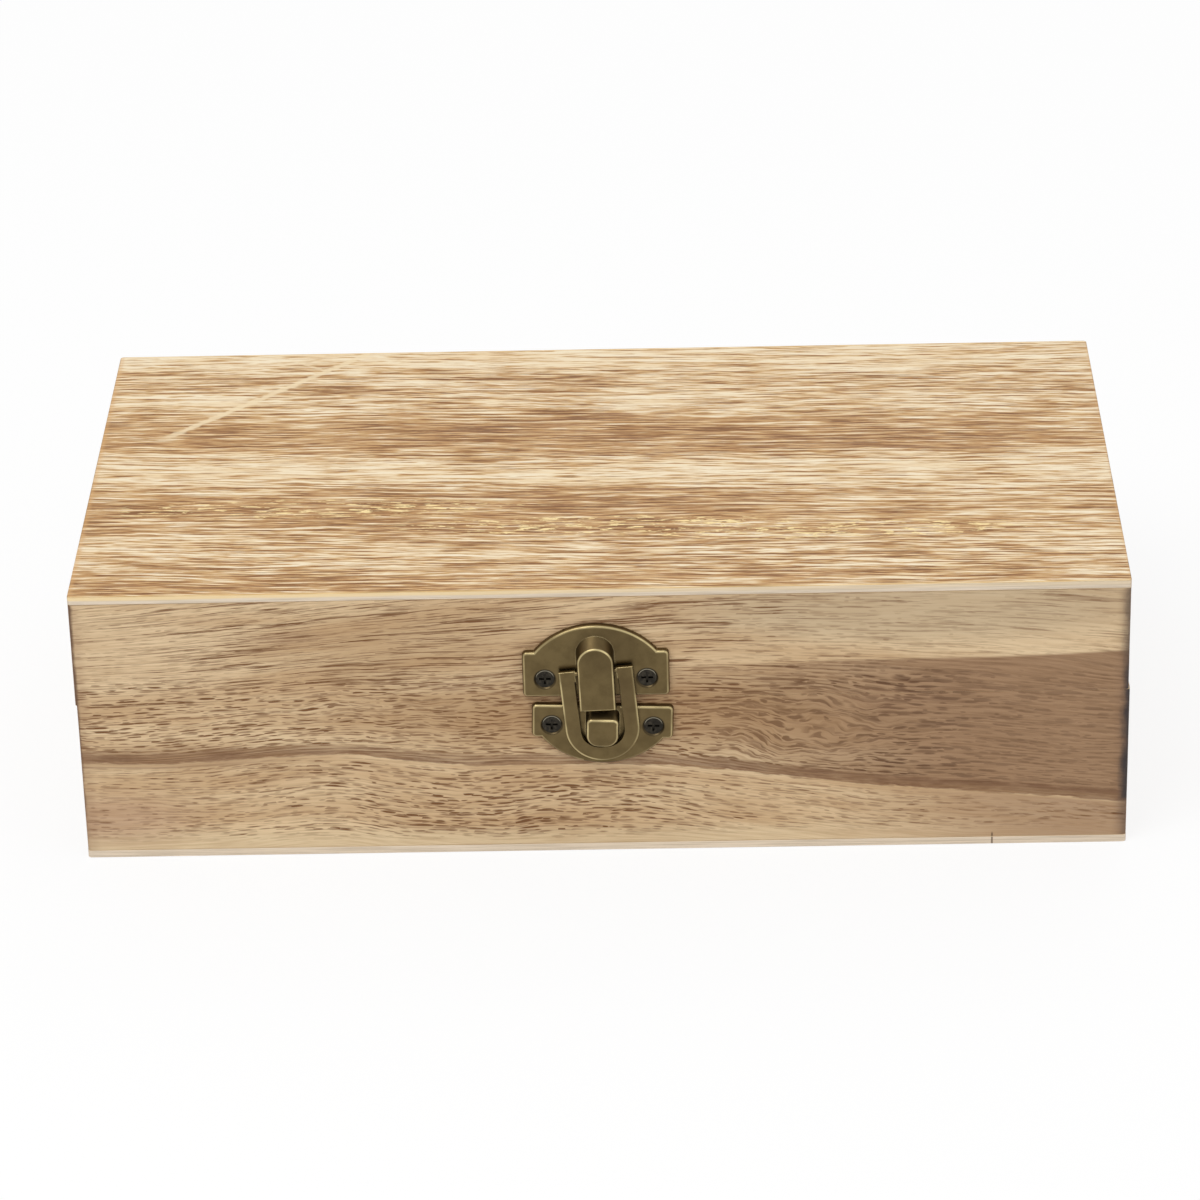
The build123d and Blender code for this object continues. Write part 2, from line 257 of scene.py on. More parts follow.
# The dark growth line across the front, the run of the grain near the top, and the upper limit
# of the heartwood.
GROWTH_LINE = [(-122, 25.6), (-104, 25.0), (-84, 25.9), (-62, 26.8), (-46, 25.0), (-28, 23.3),
               (-8, 23.2), (9, 22.8), (24, 21.6), (42, 19.2), (64, 16.4), (92, 14.0),
               (122, 11.0)]
UPPER_LINE = [(-122, 13), (-60, 19.5), (-10, 24), (30, 26), (70, 25.5), (122, 23)]
HEARTWOOD_LINE = [(-122, 40), (-30, 45), (16, 47.4), (45, 48.4), (70, 48.8), (92, 49.0),
                  (122, 50.2)]

# Broad clouds in the front's ground colour: middle (X, Z), radii, softness, share and colour.
FRONT_CLOUDS = [
    ((72, 62), (75, 12), 0.6, 0.8, (193, 171, 138)),
    ((-102, 52), (32, 15), 0.8, 0.8, (222, 196, 158)),
    ((8, 36), (92, 14), 0.7, 0.8, (169, 133, 92)),
    ((-45, 54), (48, 15), 0.8, 0.55, (174, 139, 98)),
    ((-114, 10), (30, 11), 0.9, 0.6, (178, 142, 116)),
    ((-14, 12), (52, 11), 0.8, 0.3, (178, 142, 100)),
    ((-100, 26), (46, 5), 0.9, 0.8, (168, 134, 98)),
]


def front_wood():
    """Front boards: long pale grain above, curly pores, a dark growth line, heartwood at right."""
    g = Graph("wood_front")
    place, x, y, z = g.place()
    growth = g.line(x, GROWTH_LINE)
    under = growth - z  # distance below the growth line

    # Grain flow: along the growth line low down, rising to the right higher up.
    above = g.ease(z, 14, 70)
    flow = growth * (1 - above) + g.line(x, UPPER_LINE) * above
    slow = g.noise(place, (38, 12, 12), 1) - 0.5
    curly = g.noise(place, (9, 8, 5), 2, seed=3) - 0.5
    curl = (g.blob(x, z, (46, 31), (34, 14)) + g.blob(x, z, (-46, 36), (46, 10)) * 0.55
            + g.blob(x, z, (-20, 12), (60, 9)) * 0.3).kept()
    eye = g.blob(x, z, (47.5, 27.5), (17, 8.5), 1.0) + g.blob(x, z, (60, 34), (14, 7), 1.0) * 0.5
    level = z - flow + slow * (4 - above * 2.4) + curly * curl * 4.2 + eye * 2.0
    grain = g.vector(x, y, level)

    heart = g.ease(g.line(x, HEARTWOOD_LINE) - z, -0.3, 0.6) * g.fade(under, -2.0, 0.6)
    heart = heart * g.ease(x, 0, 88) * 0.95

    # Ground colour
    cloud = g.noise(grain, (50, 9, 7), 3, 0.55, seed=5)
    ground = g.mix(g.ease(cloud, 0.35, 0.68), (223, 197, 158), (200, 168, 128))
    ground = g.mix(g.ease(z, 4.5, 8.0, 0.7, 0.0) * g.ease(x, 20, 80, 1.0, 0.2), ground,
                   (218, 197, 160))
    for middle, radii, soft, share, colour in FRONT_CLOUDS:
        ground = g.mix(g.blob(x, z, middle, radii, soft) * share, ground, colour)
    ground = g.mix(heart, ground, (155, 121, 89))
    ground = g.mix(g.ease(under, 0, 1.5) * g.ease(x, 40, 112) * 0.85, ground, (166, 134, 104))
    ground = g.mix(growth_band(g, place, x, grain, under), ground, (116, 81, 54))

    # Fine silky fibre
    fibre = g.noise(grain, (13, 0.6, 0.4), 3, 0.6, seed=11)
    fibre_tint = g.mix(heart, (164, 128, 87), (106, 75, 48))
    calm = 1 - g.blob(x, z, (85, 58), (70, 10), 0.5) * 0.6
    stir = g.blob(x, z, (50, 32), (42, 15), 0.6) * 0.16 + heart * 0.08
    ground = g.mix(g.ease(fibre, 0.38, 0.68) * (0.34 * calm + stir), ground, fibre_tint)

    marks = front_marks(g, x, z, grain, level, fibre, under, heart)
    colour = g.mix(marks, ground, g.mix(heart, (114, 76, 42), (88, 58, 35)))

    # Smudges where the flame stayed
    smudge = (g.blob(x, z, (-72, 56.4), (16, 2.6), 0.9) + g.blob(x, z, (-34, 43.6), (9, 2.2), 0.9)
              + g.blob(x, z, (66, 38), (22, 5), 0.9) * 0.5).kept()
    colour = g.mix(smudge * g.ease(fibre, 0.4, 0.6) * 0.6, colour, (140, 106, 80))

    cut = g.fade((x - CUT_ALONG).size(), 0.12, 0.3) * g.fade(z, 2.6, 3.4)
    colour = g.mix(cut * 0.8, colour, CUT_COLOUR)

    colour, roughness, bare = long_board_finish(g, place, x, y, z, colour, fibre)
    height = (fibre * 0.04 - marks * 0.05) * (1 - bare * 0.5)
    return g.finish(colour, roughness, height, 0.5, Specular_IOR_Level=WOOD_SPECULAR)


def growth_band(g, place, x, grain, under):
    """Strength of the dark growth line: mottled, softer above than below, thin second line."""
    broad = g.noise(place, (16, 4, 3), 2, seed=8)
    threads = g.noise(grain, (26, 0.6, 0.34), 3, 0.6, seed=9)
    mottle = g.noise(grain, (5, 1.6, 0.8), 3, 0.6, seed=10)
    ragged = under + (mottle - 0.5) * 2.2
    band = g.ease(ragged, -2.9, -1.7) * g.fade(ragged, 0.2, 0.8)
    band = band * g.ease(threads + under * 0.05, 0.32, 0.5, g.ease(x, 0, 40, 0.45, 0.8), 1.0)
    band = band * g.ease(mottle, 0.3, 0.6, 0.72, 1.0)
    second = g.fade((under - 1.55 + (mottle - 0.5) * 0.4).size(), 0.1, 0.32)
    band = (band + second * g.ease(x, -100, -60, 0.4, 0.0)).kept()
    return band * g.ease(broad, 0.2, 0.6, 0.75, 1.0)


def front_marks(g, x, z, grain, level, fibre, under, heart):
    """Strength of the front's dark marks: short pores low down, long thin lines high up."""
    lines = g.noise(grain, (15, 0.7, 0.37), 3, 0.55, seed=14)
    upper = g.ease(z + g.ease(x, -5, 25, 0, 6), 40, 48)
    upper = upper * g.ease(x, -118, -80, 0.35, 1.0) * g.ease(x, 20, 60, 1.0, 0.4)
    long_lines = g.ease(lines, 0.555, 0.615) * upper * 0.9

    dense = g.fade(under, -2.8, -1.2) * g.fade(z, 42, 48)
    sparse = g.ease(z, 2.5, 7) * g.ease(under, 0.8, 2.2) * g.ease(x, -118, -45, 0.6, 1.0)
    sparse = sparse * g.ease(x, 4, 32, 1.0, 0.62)
    high = g.ease(z, 42, 48) * g.ease(x, 45, 80, 0.4, 0.2)
    swirl = g.blob(x, z, (47, 32), (34, 14), 0.5)
    busy = g.blob(x, z, (-16, 12), (48, 11), 0.7) * 0.7

    torn = level + (fibre - 0.5) * 0.85  # so that their outlines follow the fibre
    short = g.pores(x, torn, (4.8, 1.1), (5.2, 0.56), 0.82, 21)
    small = g.pores(x, torn, (3.1, 0.78), (3.0, 0.40), 0.7, 22)
    wide = g.pores(x, torn, (11, 1.05), (12.0, 0.44), 0.85, 23)
    marks = (short * (dense + sparse * 0.8 + busy * 0.4)
             + small * (dense + sparse * 0.85 + busy * 0.7 + high + swirl * 0.25)
             + wide * (dense * 0.5 + upper * 0.65 + sparse * 0.45 + swirl * 0.25)
             + long_lines).kept()
    crowd = g.noise(grain, (13, 5, 2.6), 2, 0.5, seed=17)
    marks = marks * g.ease(crowd, 0.30, 0.52, 0.6, 1.0) * (1 - swirl * 0.25)
    return marks * (1 - heart * g.ease(x, 62, 95, 0.0, 0.6))


def bare_wood(g, vector, pale, dark, seed):
    """Colour of wood that was neither scorched nor waxed."""
    grain = g.noise(vector, (26, 1.1, 0.9), 3, 0.55, seed=seed)
    return g.mix(g.ease(grain, 0.42, 0.66), pale, dark)


def long_board_finish(g, place, x, y, z, colour, fibre):
    """Front and back boards: scorched arrises outside, bare wood inside and on the rims.

    Returns the colour, the roughness and where the wood is bare.
    """
    nx, _, nz = g.normal()
    ragged = g.noise(place, (3, 3, 5), 3, 0.6, seed=31)
    end_gap = BOX_END - x.size()
    right = g.ease(x, 0, 1)
    # Outer faces: a thin burnt line at both ends, the right one charred
    burnt = g.fade(end_gap / (0.5 + right * 0.9) - ragged * 2.2, -0.9, 0.9)
    burnt = burnt * g.ease(z, 10.5, 12, 0.3, 1.0) * (1 - g.ease(z, 44, 52) * right * 0.4)
    haze = g.fade(end_gap, 0.3, 4.0) * (right * 0.25 + 0.3)
    colour = g.mix(haze, colour, g.mix(right, (140, 104, 76), (104, 78, 62)))
    colour = g.mix(burnt * 0.94, colour, g.mix(right, (96, 68, 48), (42, 38, 40)))

    # End grain: toasted, and charred near the right front arris
    depth = BACK - y.size()
    end_face = g.ease(nx.size(), 0.75, 0.95)
    rings = g.noise(place, (40, 2.2, 0.9), 2, 0.6, seed=33)
    dots = g.noise(place, (0.45, 0.45, 0.45), 1, seed=34)
    end_colour = g.mix(g.ease(rings, 0.35, 0.65), (172, 136, 100), (138, 103, 74))
    end_colour = g.mix(g.ease(dots, 0.5, 0.7) * 0.4, end_colour, (104, 75, 52))
    charred = burnt * right * g.ease(depth + ragged * 2, 1.2, 4.5, 1.0, 0.25)
    colour = g.mix(end_face * (1 - charred * 0.8), colour, end_colour)

    inside = g.ease(depth, 7.2, 7.9)
    rim = g.ease(nz.size(), 0.8, 0.95)
    bare = (inside + rim).kept() * (1 - end_face)
    bare_colour = bare_wood(g, place, (226, 202, 164), (199, 168, 128), 36)
    colour = g.mix(bare * 0.9, colour, bare_colour)
    return colour, g.ease(fibre, 0.3, 0.7, 0.52, 0.66), bare


def end_board_finish(g, place, x, y, z, grain, colour, fibre):
    """End boards: toasted at the upright arrises of the box and along the panels, bare inside."""
    _, _, nz = g.normal()
    ragged = g.noise(place, (6, 6, 4), 3, 0.6, seed=76)
    toasted = g.fade(BACK - 8.0 - y.size() + ragged * 8, 3.0, 14.0)
    toasted = (toasted + g.ease((z - 34).size() - ragged * 6, 22, 31) * 0.6).kept()
    colour = g.mix(toasted * (g.ease(x, 0, 1) * 0.2 + 0.5), colour, (112, 78, 52))
    inside = g.ease(HALF_LENGTH - x.size(), 7.0, 7.6)
    rim = g.ease(nz.size(), 0.8, 0.95)
    bare_colour = bare_wood(g, grain, (224, 199, 161), (196, 165, 125), 77)
    colour = g.mix((inside + rim).kept() * 0.9, colour, bare_colour)
    return colour, g.ease(fibre, 0.3, 0.7, 0.52, 0.66)


def plain_wood(name, along_y, tone):
    """Back and end boards: quieter grain of the same wood. tone moves its pattern and line."""
    g = Graph(name)
    place, x, y, z = g.place()
    long_axis = y if along_y else x
    cross_axis = x if along_y else y
    slow = g.noise(place, (70, 70, 24), 1, seed=70 + tone) - 0.5
    level = z + slow * 8 + long_axis * 0.03
    grain = g.vector(long_axis, cross_axis, level)
    cloud = g.noise(grain, (90, 9, 7), 3, 0.55, seed=71 + tone)
    fibre = g.noise(grain, (22, 0.7, 0.5), 3, 0.6, seed=72 + tone)
    lines = g.noise(grain, (22, 0.9, 0.5), 3, 0.55, seed=73 + tone)
    colour = g.mix(g.ease(cloud, 0.35, 0.66), (214, 186, 147), (182, 148, 108))
    colour = g.mix(g.ease(fibre, 0.4, 0.7) * 0.35, colour, (158, 122, 84))
    pore = g.pores(long_axis, level, (6.0, 1.4), (5.0, 0.5), 0.7, 24 + tone)
    speck = g.pores(long_axis, level, (3.4, 0.9), (3.0, 0.4), 0.5, 27 + tone)
    crowd = g.noise(grain, (30, 9, 6), 2, 0.5, seed=78 + tone)
    marks = (pore * 0.8 + speck * 0.8 + g.ease(lines, 0.58, 0.66) * 0.8).kept()
    marks = marks * g.ease(crowd, 0.35, 0.6, 0.25, 1.0)
    colour = g.mix(marks * 0.8, colour, (128, 92, 60))
    belt = g.noise(grain, (160, 20, 6), 1, seed=75 + tone)
    colour = g.mix(g.ease(belt, 0.56, 0.68) * 0.5, colour, (146, 110, 80))
    growth = g.fade((level - 24 - tone).size() + (fibre - 0.5) * 1.2, 0.5, 2.2)
    colour = g.mix(growth * 0.6, colour, (132, 97, 68))
    seam = g.fade((z - SEAM_HEIGHT).size(), 0.1, 0.35)
    colour = g.mix(seam * 0.6, colour, (92, 66, 46))
    if along_y:
        colour, roughness = end_board_finish(g, place, x, y, z, grain, colour, fibre)
    else:
        colour, roughness, _ = long_board_finish(g, place, x, y, z, colour, fibre)
    height = fibre * 0.04 - marks * 0.05
    return g.finish(colour, roughness, height, 0.5, Specular_IOR_Level=WOOD_SPECULAR)


# Belts of the top panel: place along Y in millimetres, and tone from cream (-1) to toasted (1).
BELTS = [(-125, 0.6), (-66, 1.0), (-61, 1.0), (-56, 0.5), (-51, 0.2), (-46, -0.1), (-40, 0.1),
         (-34, 0.9), (-25, 1.1), (-16, 0.8), (-10, -0.6), (-4, -1.3), (2, -0.3), (7, 0.9),
         (16, 1.7), (26, 1.0), (31, 0.2), (36, -0.5), (41, 0.1), (47, 0.2), (53, -0.8),
         (60, -1.6), (66, -1.2), (125, 0.2)]
BELT_SCALE = 64  # tones are drawn this much larger, as the line takes millimetres

# From cream to the darkest streaks: where each shade begins and is full, and its colour.
STREAK_SHADES = [(0.44, 0.49, (219, 186, 137)), (0.49, 0.53, (197, 154, 101)),
                 (0.545, 0.60, (172, 125, 73)), (0.60, 0.66, (128, 86, 47))]


def panel_wood():
    """Top and bottom panels: scorched and brushed outside, so dark streaks stand in cream wood."""
    g = Graph("wood_panel")
    place, x, y, z = g.place()
    nx, _, nz = g.normal()
    upper = g.ease(z, 60, 61)  # 1 on the top panel, 0 on the bottom one
    # Slow fanning of the streaks, which drift towards the front at the right
    bend = g.noise(place, (80, 30, 30), 1, seed=40) - 0.5
    wobble = g.noise(place, (18, 7, 7), 1, seed=41) - 0.5
    level = y + x * 0.035 + bend * 4.5 + wobble * 0.9
    grain = g.vector(x, level, z)

    # How toasted each place is
    belts = g.line(level, [(across, tone * BELT_SCALE) for across, tone in BELTS]) / BELT_SCALE
    patches = g.noise(grain, (60, 8, 8), 2, 0.5, seed=43) - 0.5
    middle = g.fade(x.size(), 30, 112)
    torn = (g.blob(y, x, (-22, -66), (6, 58)) + g.blob(y, x, (-33, -2), (6, 56))
            + g.blob(y, x, (-37, 52), (6, 56)) + 0.06).kept()
    toast = (belts * g.ease(x, 0, 100, 0.046, 0.030) + patches * 0.15 + middle * 0.015
             + torn * 0.025 - g.blob(y, x, (16, -100), (30, 50)) * 0.03)

    streak = g.noise(grain, (20, 0.95, 0.95), 3, 0.58, seed=45)
    fine = g.noise(grain, (8, 0.36, 0.36), 2, 0.62, seed=46)
    broad = g.noise(grain, (30, 2.6, 2.6), 2, 0.5, seed=47)
    thread = g.noise(grain, (80, 0.8, 0.8), 2, 0.6, seed=48)
    calm = g.ease(belts, 0.2, 1.2, 1.0, 0.72)  # toasted belts are smoother
    mixed = (((streak - 0.5) * 0.66 + (fine - 0.5) * 0.88) * calm + (broad - 0.5) * 0.26
             + (thread - 0.5) * 0.36 + 0.5 + toast)

    colour = g.mix(g.ease(broad, 0.35, 0.65), (244, 228, 197), (238, 214, 174))
    for low, high, shade in STREAK_SHADES:
        colour = g.mix(g.ease(mixed, low, high), colour, shade)

    # Torn flecks that the brush left pale
    fleck = g.ease(g.noise(grain, (5.0, 0.9, 0.9), 3, 0.65, 0.4, seed=51), 0.55, 0.61)
    colour = g.mix(fleck * torn * 1.6, colour, (247, 222, 162))

    # One long scratch and two faint rubs at the left, back
    scratch = rub(g, x, y, place, (-57.9, 65.8), (-108.5, 14.2), 1.35)
    scratch = (scratch + rub(g, x, y, place, (-77.9, 62.3), (-67.5, 54.6), 0.6) * 0.6).kept()
    colour = g.mix(scratch * 0.8, colour, (240, 218, 178))
    chalk = rub(g, x, y, place, (-38.0, 43.2), (-15.2, 42.7), 0.5)
    colour = g.mix(chalk * g.ease(fine, 0.42, 0.55) * 0.6, colour, (236, 228, 214))

    # Toasted arrises at the ends, golden ones at the front and back of the top
    colour = g.mix(g.ease(BOX_END - x.size(), 0.2, 1.4, 0.45, 0.0), colour, (212, 164, 106))
    golden = g.fade(BACK - y.size(), 0.15, 0.9) * upper
    colour = g.mix(golden * 0.6, colour, (238, 204, 142))

    side = g.fade(nz.size(), 0.35, 0.75)
    colour = g.mix(side, colour, panel_edge(g, place, x, y, z, nx))

    # Bare faces that look into the box
    inner = g.ease(nz * (1 - upper * 2), 0.3, 0.5)
    bare_grain = g.noise(grain, (30, 1.5, 1.5), 3, 0.55, seed=57)
    bare = g.mix(g.ease(bare_grain, 0.42, 0.68), (229, 206, 169), (202, 172, 132))
    colour = g.mix(inner * 0.92, colour, bare)

    roughness = g.ease(streak, 0.35, 0.65, 0.5, 0.68)
    height = mixed * -0.12 + fleck * torn * 0.06 - scratch * 0.08
    return g.finish(colour, roughness, height, 0.6, Specular_IOR_Level=WOOD_SPECULAR)


def panel_edge(g, place, x, y, z, nx):
    """Colour of the panels' sawn edges: pale, gilt along the top at left, toasted at the ends."""
    grain = g.noise(place, (18, 18, 0.3), 2, 0.6, seed=55)
    colour = g.mix(g.ease(grain, 0.35, 0.7), (225, 209, 187), (200, 184, 162))
    gilt = g.ease(z + (grain - 0.5) * 0.8, 66.5, 67.0) * g.ease(x, -70, 70, 0.9, 0.25)
    colour = g.mix(gilt, colour, (238, 211, 160))
    end_face = g.ease(nx.size(), 0.75, 0.95)
    colour = g.mix(end_face * 0.7, colour, (176, 138, 100))
    cut = g.fade((x - CUT_ALONG).size(), 0.12, 0.3) * g.fade(y, -65, -64) * g.fade(z, 2.6, 3.4)
    return g.mix(cut * 0.8, colour, CUT_COLOUR)


def rub(g, x, y, place, start, end, width):
    """A soft stroke on the panels from start to end, ragged, fading towards its end."""
    length = hypot(end[0] - start[0], end[1] - start[1])
    ux, uy = (end[0] - start[0]) / length, (end[1] - start[1]) / length
    along = (x - start[0]) * ux + (y - start[1]) * uy
    across = ((x - start[0]) * uy - (y - start[1]) * ux).size()
    ragged = g.noise(place, (3, 0.8, 5), 2, 0.6, seed=60) - 0.5
    body = g.fade(across + ragged * width * 1.8, width * 0.35, width)
    return body * g.ease(along, -1, 1) * g.fade(along, length * 0.85, length)


# ---------------------------------------------------------------- metal
# Front faces of the latch's pieces along Y, in millimetres.
PLATE_FACE = FRONT - 1.5
RING_FACE = FRONT - 3.3
TONGUE_FACE = FRONT - 4.55
KNOB_FACE = FRONT - 4.5
JOURNAL = (-1.3, 47.95)  # the ring's axis seen from the front, along X and Z
RING_LEAN = radians(5.0)
RING_HALF_WIDTH = 8.45
RING_BEND = 14.15  # below the journal, where the straight sides meet the round foot
TONGUE_SLOPE = 0.033  # its lean, along X for each step along Z
COUNTERSINK = 2.35  # between a latch screw's head, 2.15, and the rim it is sunk in, 2.45


def screw_heads(*nodes):
    """Middle (X, Z) of each screw head in millimetres: every node here is a pair of screws."""
    heads = []
    for node in nodes:
        points = [vertex.co / MM for vertex in frame["nodes"][node].data.vertices]
        middle = sum(point.x for point in points) / len(points)
        for side in (-1, 1):
            own = [point for point in points if (point.x - middle) * side > 0]
            heads.append(tuple((min(point[axis] for point in own)
                                + max(point[axis] for point in own)) / 2 for axis in (0, 2)))
    return heads


LATCH_HEADS = screw_heads("latch_lid_screws", "latch_base_screws")


def within(g, value, low, high):
    """1 between low and high, 0 outside."""
    return g.ease(value, low - 0.2, low) * g.fade(value, high, high + 0.2)


def rim_wear_and_highlight(g, x, y, z):
    """Where the latch's front rims get wear and a painted highlight."""
    def rim(face):
        """A narrow step behind a piece's front face."""
        depth = y - face
        return g.ease(depth, 0.02, 0.10) * g.fade(depth, 0.24, 0.42)

    tongue = within(g, x + (z - JOURNAL[1]) * TONGUE_SLOPE, JOURNAL[0] - 5.0, JOURNAL[0] + 5.0)
    tongue = tongue * within(g, z, 37.5, 56.0)
    knob = within(g, x, -4.5, 4.5) * g.fade(z, 37.5, 37.6)
    beside = 1 - (tongue + knob).kept()
    rims = rim(PLATE_FACE) * beside * 0.6 + rim(RING_FACE) * beside * 0.8
    return rims + rim(TONGUE_FACE) * tongue + rim(KNOB_FACE) * knob


def ring_edge_highlight(g, x, y, z):
    """A painted highlight along the ring's outer edge, rounded at the foot, seen along its own
    leaning axes, stronger on its left side.
    """
    across = (x - JOURNAL[0]) * cos(RING_LEAN) + (z - JOURNAL[1]) * sin(RING_LEAN)
    down = (x - JOURNAL[0]) * sin(RING_LEAN) - (z - JOURNAL[1]) * cos(RING_LEAN)
    below_bend = (down - RING_BEND).at_least(0.0)
    inward = RING_HALF_WIDTH - g.distance(across, below_bend)
    edge = g.ease(inward, -0.5, -0.1) * g.fade(inward, 0.2, 0.55)
    return edge * g.ease(across, -3, 3, 1.0, 0.55) * within(g, y, RING_FACE - 0.2, RING_FACE + 0.5)


def antique_brass():
    """Browned brass with painted shade round the screws and the tongue, bright along its edges
    where hands and the ring rub it and as a painted highlight.
    """
    g = Graph("antique_brass")
    place, x, y, z = g.place()
    grime = g.noise(place, (3.5, 3.5, 3.5), 4, 0.6, seed=80)
    speck = g.noise(place, (0.5, 0.5, 0.5), 2, 0.6, seed=81)
    patchy_wear_and_sheen = g.noise(place, (7, 7, 7), 1, seed=82)
    colour = g.mix(g.ease(grime, 0.3, 0.75), (111, 95, 64), (98, 83, 55))
    colour = g.mix(g.ease(speck, 0.62, 0.75) * 0.15, colour, (70, 58, 40))
    # Painted shade round the tongue, and darker down the ring's right arm
    colour = g.mix(g.blob(x, z, (1.5, 53.5), (10, 7)) * 0.4, colour, (80, 66, 44))
    colour = g.mix(g.blob(x, z, (5.5, 41.5), (3.5, 9)) * 0.35, colour, (84, 68, 47))

    # Painted shade in the screws' countersinks, which also keeps the painted highlights out of
    # them
    countersink_shade = 0
    for head_x, head_z in LATCH_HEADS:
        away = g.distance(x - head_x, z - head_z)
        countersink_shade = g.fade(away, COUNTERSINK + 0.1, COUNTERSINK + 0.4) + countersink_shade
    countersink_shade = countersink_shade * g.ease(y, FRONT - 3.0, FRONT - 2.9)

    # Wear and a painted highlight on the edges of every brass piece, found by how far a rounded
    # surface would turn there
    bevel = g.node("ShaderNodeBevel", samples=6)
    bevel.inputs["Radius"].default_value = 0.5 * MM
    geometry = g.node("ShaderNodeNewGeometry")
    facing = g.node("ShaderNodeVectorMath", operation="DOT_PRODUCT")
    g.tree.links.new(bevel.outputs[0], facing.inputs[0])
    g.tree.links.new(geometry.outputs["Normal"], facing.inputs[1])
    turned = 1 - g.out(facing.outputs["Value"])
    wear_and_highlight = g.ease(turned + (grime - 0.5) * 0.04, 0.03, 0.14) * 0.7
    wear_and_highlight = (wear_and_highlight + rim_wear_and_highlight(g, x, y, z) * (1 - countersink_shade) + ring_edge_highlight(g, x, y, z)).kept()
    wear_and_highlight = wear_and_highlight * g.ease(patchy_wear_and_sheen, 0.35, 0.62, 0.35, 1.0)
    # Wear and painted highlight on the edges, kept out of the countersinks' painted shade
    colour = g.mix(wear_and_highlight * 0.75 * (1 - countersink_shade), colour, (222, 204, 152))
    colour = g.mix(countersink_shade * 0.7, colour, (52, 44, 32))
    roughness = g.ease(grime, 0.3, 0.7, 0.30, 0.40)
    return g.finish(colour, roughness, speck * 0.02, 0.4, Metallic=1.0)


def dark_screws():
    """Blackened steel, with a painted highlight on the upper rim of each of the latch's screw
    heads.
    """
    g = Graph("dark_screws")
    place, x, _, z = g.place()
    patina = g.noise(place, (0.7, 0.7, 0.7), 3, 0.6, seed=90)
    colour = g.mix(g.ease(patina, 0.4, 0.7), (46, 43, 38), (68, 63, 54))
    for head_x, head_z in LATCH_HEADS:
        away = g.distance(x - head_x, z - head_z)
        # A painted highlight on the upper rim of each screw head
        top_rim_highlight = g.ease(away, COUNTERSINK - 0.45, COUNTERSINK - 0.25) * g.fade(away, COUNTERSINK, 3.5)
        top_rim_highlight = top_rim_highlight * g.ease(z - head_z, 0.2, 1.4)
        colour = g.mix(top_rim_highlight * 0.8, colour, (170, 162, 142))
    roughness = g.ease(patina, 0.3, 0.7, 0.3, 0.5)
    return g.finish(colour, roughness, patina * 0.02, 0.4, Metallic=1.0)


materials = {
    "wood_front": front_wood(),
    "wood_back": plain_wood("wood_back", False, 0),
    "wood_end": plain_wood("wood_end", True, 10),
    "wood_panel": panel_wood(),
    "antique_brass": antique_brass(),
    "dark_screws": dark_screws(),
}


# ---------------------------------------------------------------- boards
SHARP = 0.06  # edge radius of sawn arrises, in millimetres
ROUNDED = 0.7  # that of the box's upright arrises
BOARD_CELLS = (2.0, 2.0, 0.9)  # spacing of the mesh along X, Y and Z
BOARD_RELIEF = (0.03, 14, 1.6)  # depth of the furrows, their length and their width
PANEL_ROUNDED = 0.8  # edge radius of the panels' upright arrises
PANEL_EDGE = 0.15  # and of their other edges
PANELS = [  # node, body, cells and depth of the furrows
    ("bottom_panel", "base", (2.4, 1.2, 0.5), 0.05),
    ("top_panel", "lid", (1.2, 0.6, 0.5), 0.08),
]
PANEL_FURROWS = (16, 1.8)  # their length and width
SEAM_SHARE = 0.04  # what either front board takes up of the 0.1 mm seam
EDGE_STEPS = (0.0, 0.3, 0.65, 1.0)  # of a rounded edge's radius


def steps(low, high, cell, low_radius, high_radius):
    """Places along one side of a board: close together in its rounded edges."""
    start, end = low + low_radius, high - high_radius
    count = max(1, round((end - start) / cell))
    middle = [start + (end - start) * step / count for step in range(1, count)]
    near = [low + low_radius * share for share in EDGE_STEPS]
    far = [high - high_radius * share for share in reversed(EDGE_STEPS)]
    return near + middle + far


def rounded_pair(first, second, radius):
    """How far two depths (below one face and below the next) move when their edge is rounded."""
    a, b = max(0.0, radius - first), max(0.0, radius - second)
    if not a or not b:
        return 0.0, 0.0
    size = max(a, b) / hypot(a, b)
    return a - a * size, b - b * size


